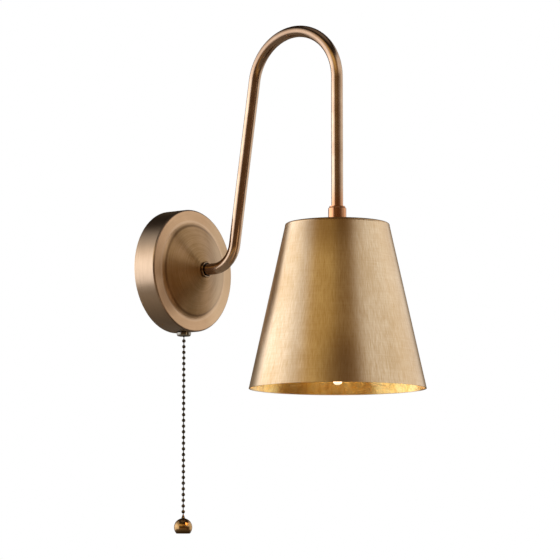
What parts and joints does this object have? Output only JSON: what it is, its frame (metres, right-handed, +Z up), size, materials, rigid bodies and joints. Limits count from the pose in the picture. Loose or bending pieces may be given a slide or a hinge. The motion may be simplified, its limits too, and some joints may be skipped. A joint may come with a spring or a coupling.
{
  "type": "wall lamp",
  "caption": "Wall lamp with a round dished plate, a swan-neck tube arm, a downward conical metal shade with a gold-leaf lining, a candle bulb and a ball-chain pull switch.",
  "frame": {"origin": "middle of the two wall screws, on the wall's surface", "axes": "+Y into the wall, so the lamp stands out towards -Y; +Z up; the arm and the lamp's axis lie in the plane x = 0"},
  "size_m": [0.15, 0.255, 0.4356],
  "materials": {
    "antique_brass": "brushed and lacquered",
    "shade_brass": "fine brushed and lacquered",
    "copper_brass": "polished, reddish",
    "gold_leaf": "crinkled metal leaf under varnish",
    "dark_chain_brass": "dark antique, worn bright on the high spots",
    "nickel": "nickel plated",
    "zinc_steel": "bright zinc plated",
    "contact_brass": "plain",
    "black_moulding": "matt heat-proof moulding",
    "white_moulding": "satin",
    "grey_rubber": "matt",
    "brown_insulation": "satin",
    "blue_insulation": "satin",
    "green_yellow_insulation": "satin, striped",
    "frosted_glass": "frosted",
    "clear_glass": "clear",
    "lit_filament": "phosphor strip, lit",
    "bulb_cap_nickel": "plated",
    "steel_wire": "bright"
  },
  "bodies": {
    "lamp": {"wall_bracket": "zinc_steel", "cable_bush": "grey_rubber", "terminal_block": "white_moulding", "terminal_screws": "zinc_steel", "terminal_fixing_screw": "zinc_steel", "earth_screw": "contact_brass", "backplate": "antique_brass", "rim_screw": "antique_brass", "arm_tube": "antique_brass", "arm_ring_nut": "antique_brass", "arm_washer": "zinc_steel", "earth_tags": "zinc_steel", "arm_nut": "zinc_steel", "earth_wire": "green_yellow_insulation", "shade_collar": "copper_brass", "shade": "shade_brass", "leaf_lining": "gold_leaf", "shade_nipple": "zinc_steel", "shade_washer": "zinc_steel", "shade_nut": "zinc_steel", "lampholder_cap": "black_moulding", "lampholder_body": "black_moulding", "lampholder_insert": "white_moulding", "lampholder_shell": "contact_brass", "lampholder_contact": "contact_brass", "wire_live": "brown_insulation", "wire_neutral": "blue_insulation", "wire_switch_feed": "brown_insulation", "switch_body": "black_moulding", "switch_cover": "black_moulding", "switch_contacts": "contact_brass", "rotor_pin": "steel_wire", "switch_bushing": "nickel", "switch_ring_nut": "nickel", "switch_spring": "steel_wire"},
    "pull_slider": {"switch_slider": "white_moulding", "chain_lead": "dark_chain_brass"},
    "top_bead": {"chain_top_bead": "dark_chain_brass"},
    "hanging_chain": {"pull_chain": "dark_chain_brass", "knob_bell": "antique_brass", "pull_knob": "antique_brass"},
    "rotor": {"switch_rotor": "white_moulding"},
    "bulb_foot": {"bulb_contact": "contact_brass"},
    "bulb": {"bulb_glass": "frosted_glass", "bulb_stem": "clear_glass", "bulb_filaments": "lit_filament", "bulb_cap": "bulb_cap_nickel", "bulb_insulator": "black_moulding"}
  },
  "joints": [
    {"name": "pull_slide", "type": "slide", "parent": "lamp", "child": "pull_slider", "axis": [0, 0, -1], "range_m": [0, 0.006], "stiffness_N_per_m": 400, "springref_m": -0.01, "deforming": ["switch_spring"]},
    {"name": "chain_swing_out", "type": "hinge", "parent": "pull_slider", "child": "top_bead", "pos_m": [0, -0.0115, -0.06162], "axis": [-1, 0, 0], "range_deg": [-1.2, 45]},
    {"name": "chain_swing_side", "type": "hinge", "parent": "top_bead", "child": "hanging_chain", "pos_m": [0, -0.0115, -0.06162], "axis": [0, 1, 0], "range_deg": [-45, 45]},
    {"name": "switch_rotor_turn", "type": "hinge", "parent": "lamp", "child": "rotor", "pos_m": [0, -0.0115, -0.034], "axis": [0, 0, 1], "continuous": true},
    {"name": "bulb_travel", "type": "slide", "parent": "lamp", "child": "bulb_foot", "axis": [0, 0, -1], "range_m": [0, 0.0113]},
    {"name": "bulb_turn", "type": "hinge", "parent": "bulb_foot", "child": "bulb", "pos_m": [0, -0.18, -0.02], "axis": [0, 0, -1], "range_deg": [0, 1440]}
  ],
  "couplings": [
    {"joint": "bulb_travel", "follows": "bulb_turn", "m_per_rad": 0.00044882}
  ]
}
